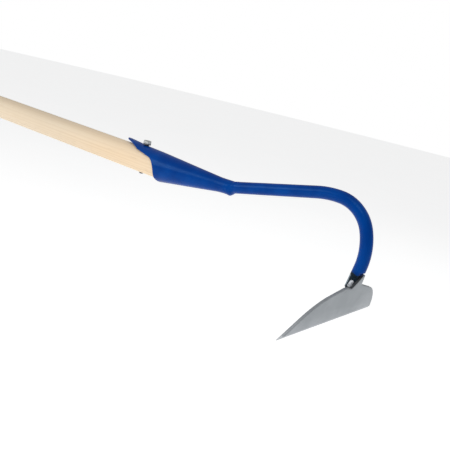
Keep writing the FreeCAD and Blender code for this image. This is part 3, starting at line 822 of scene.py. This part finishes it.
def makeScrew():
    low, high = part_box("handle_screw")
    seat = high.z - screw["head"]
    inner = screw["across"] / 2
    outer = inner / math.cos(math.pi / 6)
    length = seat - low.z
    steps = round(length / screw["pitch"] * screw["rowsPerTurn"])

    def threadRadius(z, angle):
        phase = (z / screw["pitch"] - angle / math.tau) % 1
        radius = screw["radius"] - screw["thread"] * abs(2 * phase - 1)
        return min(radius, screw["radius"] - screw["point"] + (z - low.z))

    def hexagonRadius(limit, angle):
        across = inner / math.cos((angle - screw["turned"]) % (math.pi / 3) - math.pi / 6)
        return min(across, limit)

    rings = []
    for i in range(steps + 1):
        z = low.z + length * i / steps
        rings.append(levelRing(z, lambda angle: threadRadius(z, angle)))
    rows = []  # of the head: height and greatest radius
    for i in range(screw["softRows"] + 1):
        share = i / screw["softRows"]
        limit = outer - screw["soft"] * (1 - math.sin(math.pi / 2 * share))
        rows.append((seat + screw["soft"] * share, limit))
    flatTop = inner - screw["chamfer"]
    for i in range(screw["chamferRows"] + 1):
        limit = flatTop + (outer - flatTop) * (1 - i / screw["chamferRows"])
        rows.append((high.z - (limit - flatTop) * math.tan(screw["chamferSlope"]), limit))
    for z, limit in rows:
        rings.append(levelRing(z, lambda angle: hexagonRadius(limit, angle)))
    piece = skin("hex_screw", rings, smoothBelow=22)
    mount(piece, zincPlate(seat), "zinc_plate", "handle_screw")


makeScrew()
report("screw driven")


# weld beads: one round the end of the collar, and two tacks of drops laid one over the next
collarBead = {
    "back": 1.5 * mm,     # over the collar
    "ahead": 13 * mm,     # along the neck
    "cover": 0.06 * mm,   # over the collar's outside
    "hang": 2.1 * mm,     # of the lump below the neck
    "place": 5.4 * mm,    # of its lowest point beyond the collar's end
    "spread": 3.6 * mm,
    "rise": math.radians(14.1),  # slope of the neck there
    "tail": 1.5 * mm,     # last stretch, which dips into the neck
    "tailSlope": 0.2,
    "ripple": 0.3 * mm,
    "ripples": 330,       # to the metre
    "calm": (8, 12),      # rings over which the ripples fade at the start and the end
    "turns": 96,
    "steps": 60,
}


def makeCollarBead():
    end = socketHigh.x
    steps = collarBead["steps"]
    tailAt = collarBead["ahead"] - collarBead["tail"]
    calmStart, calmEnd = collarBead["calm"]
    rings = []
    for i in range(steps + 1):
        x = end - collarBead["back"] + (collarBead["back"] + collarBead["ahead"]) * i / steps
        share = min(1, max(0, (x - end) / tailAt))
        share = share * share * (3 - 2 * share)
        onNeck = neckRise + (x - end - bar["out"]) * math.tan(collarBead["rise"])
        centre = Vector((x, 0, sheetHeight(x) * (1 - share) + onNeck * share))
        radius = (sheetRadius(min(x, end)) + collarBead["cover"]) * (1 - share) + bar["radius"] * share
        radius -= max(0, x - end - tailAt) * collarBead["tailSlope"]
        fromLowest = (x - end - collarBead["place"]) / collarBead["spread"]
        hang = collarBead["hang"] * math.exp(-fromLowest ** 2)
        hang = hang ** 2 / (hang + max(0, radius - bar["radius"]))  # less where the bead is thick already
        calm = min(1, i / calmStart, (steps - i) / calmEnd)
        ring = circle(centre, sideways, upward, radius, collarBead["turns"])
        for k, point in enumerate(ring):
            outward = (point - centre).normalized()
            below = max(0, -outward.z) ** 1.5
            uneven = noise.noise(point * collarBead["ripples"]) * collarBead["ripple"] * calm
            ring[k] = point + outward * (uneven + hang * below)
        rings.append(ring)
    piece = skin("collar_weld", rings, smoothBelow=60)
    mount(piece, blueFinish, "blue_enamel", "neck_weld")


tack = {
    "rise": 2.5 * mm,     # of the middle above the blade's top
    "back": 2.9 * mm,     # of the middle behind the blade
    "sink": 0.4 * mm,     # into the neck's side
    "half": 4.2 * mm,     # half the length
    "reach": 1.1,         # towards the blade, of a drop's radius
    "drops": 5,
    "first": 2.0 * mm,    # radius of the drops, from the top down
    "last": 2.6 * mm,
    "steps": 60,
    "turns": 40,
    "crescent": 0.9 * mm,  # how far each drop's rim curves
    "flat": 0.86,         # height over the neck's side, of a drop's radius
    "uneven": (0.93, 1.03),  # of a drop's radius
}


def dropHeight(s, drops):  # of a row of drops: pairs of place and radius
    return math.sqrt(max(0, *(radius ** 2 - (s - place) ** 2 for place, radius in drops)))


def makeTack(name, node, side):
    sideOut = Vector((0, side, 0))
    middle = (bladeTop + tailUp * tack["rise"] + tailOut * (head["flat"] - tack["back"])
              + sideOut * (bar["radius"] - tack["sink"]))
    drops = []
    for i in range(tack["drops"]):
        share = i / (tack["drops"] - 1)
        radius = tack["first"] + (tack["last"] - tack["first"]) * share
        place = (tack["half"] - radius) * (1 - 2 * share)
        drops.append((place, radius * dice.uniform(*tack["uneven"])))
    top = max(place + radius for place, radius in drops)
    bottom = min(place - radius for place, radius in drops)
    rings = []
    for i in range(tack["steps"] + 1):
        s = top + (bottom - top) * (i + 0.02) / (tack["steps"] + 0.04)
        ring = []
        for k in range(tack["turns"]):
            angle = math.tau * k / tack["turns"]
            shift = tack["crescent"] * math.cos(angle) ** 2 * (1 - abs(2 * i / tack["steps"] - 1) ** 2)
            radius = dropHeight(s + shift, drops) or dropHeight(s, drops)
            ring.append(middle + tailUp * s + sideOut * (radius * math.cos(angle) * tack["flat"])
                        + tailOut * (radius * tack["reach"] * math.sin(angle)))
        rings.append(ring)
    piece = skin(name, rings, smoothBelow=60)
    mount(piece, weldFinish, "weld_metal", node)


makeCollarBead()
makeTack("tack_tip_side", "blade_weld_tip_side", -1)
makeTack("tack_heel_side", "blade_weld_heel_side", 1)
report("welds laid")


# studio: a pale floor, soft light and the camera
studio = {
    "floorDrop": 0.22,
    "floorRadius": 9.0,
    "sky": 0.4,           # strength of the light all round
    "camera": Vector((0.369, -0.5381, 0.1142)),  # from the pole's axis, level with the collar's end
    "turn": (76.75, -13.37, 37.01),
    "lens": 51.97,
    "glow": 0.5,          # of the floor
    "lampsAhead": 0.05,   # of the collar's weld: the place the lamps are aimed at
    "lamps": {            # place from there, size, power
        "key": ((0.35, -0.9, 1.3), 0.9, 7),
        "streak": ((-0.9, -0.95, 0.5), 0.6, 5),
        "back": ((0.5, 1.1, 0.8), 1.4, 2),
    },
}
white = (1, 1, 1, 1)


def makeFloor():
    floorFinish = Finish("pale_floor", Roughness=0.9, Emission_Color=white,
                         Emission_Strength=studio["glow"])
    speck = floorFinish.noise(3.0, detail=2.0)
    floorFinish.use("Base Color", floorFinish.mix(speck, linear(250, 250, 250), linear(246, 247, 248)))
    middle = Vector((weldLow.x, 0, bladeLow.z - studio["floorDrop"]))
    ring = circle(middle, forward, sideways, studio["floorRadius"], 64)
    floor = makePiece("floor", ring, [tuple(range(64))])
    floor.data.materials.append(floorFinish.material)


def makeSky():  # soft light all round, with plain white behind the hoe
    world = bpy.data.worlds.new("studio")
    scene.world = world
    world.use_nodes = True
    sky = Shading(world.node_tree)
    light = sky.tree.nodes["Background"]
    sky.feed(light.inputs["Color"], white)
    sky.feed(light.inputs["Strength"], studio["sky"])
    seen = sky.node("Background", None, {"Color": white})
    cameraRay = sky.node("LightPath")
    blend = sky.node("MixShader", None, {0: cameraRay, 1: Field(sky, light.outputs[0]), 2: seen})
    sky.feed(sky.tree.nodes["World Output"].inputs["Surface"], blend)


def hangLamps():
    centre = Vector((weldLow.x + studio["lampsAhead"], 0, 0))
    for name, (offset, size, power) in studio["lamps"].items():
        lamp = bpy.data.lights.new(name, "AREA")
        lamp.size = size
        lamp.energy = power
        light = bpy.data.objects.new(name, lamp)
        scene.collection.objects.link(light)
        light.location = centre + Vector(offset)
        light.rotation_euler = (-Vector(offset)).to_track_quat("-Z", "Y").to_euler()


def placeCamera():
    lens = bpy.data.cameras.new("camera")
    lens.lens = studio["lens"]
    lens.clip_start = 0.01
    camera = bpy.data.objects.new("camera", lens)
    scene.collection.objects.link(camera)
    camera.location = Vector((socketHigh.x, 0, 0)) + studio["camera"]
    camera.rotation_euler = Euler([math.radians(turn) for turn in studio["turn"]])
    scene.camera = camera
    scene.view_settings.view_transform = "Standard"


makeFloor()
makeSky()
hangLamps()
placeCamera()
report("studio lit")
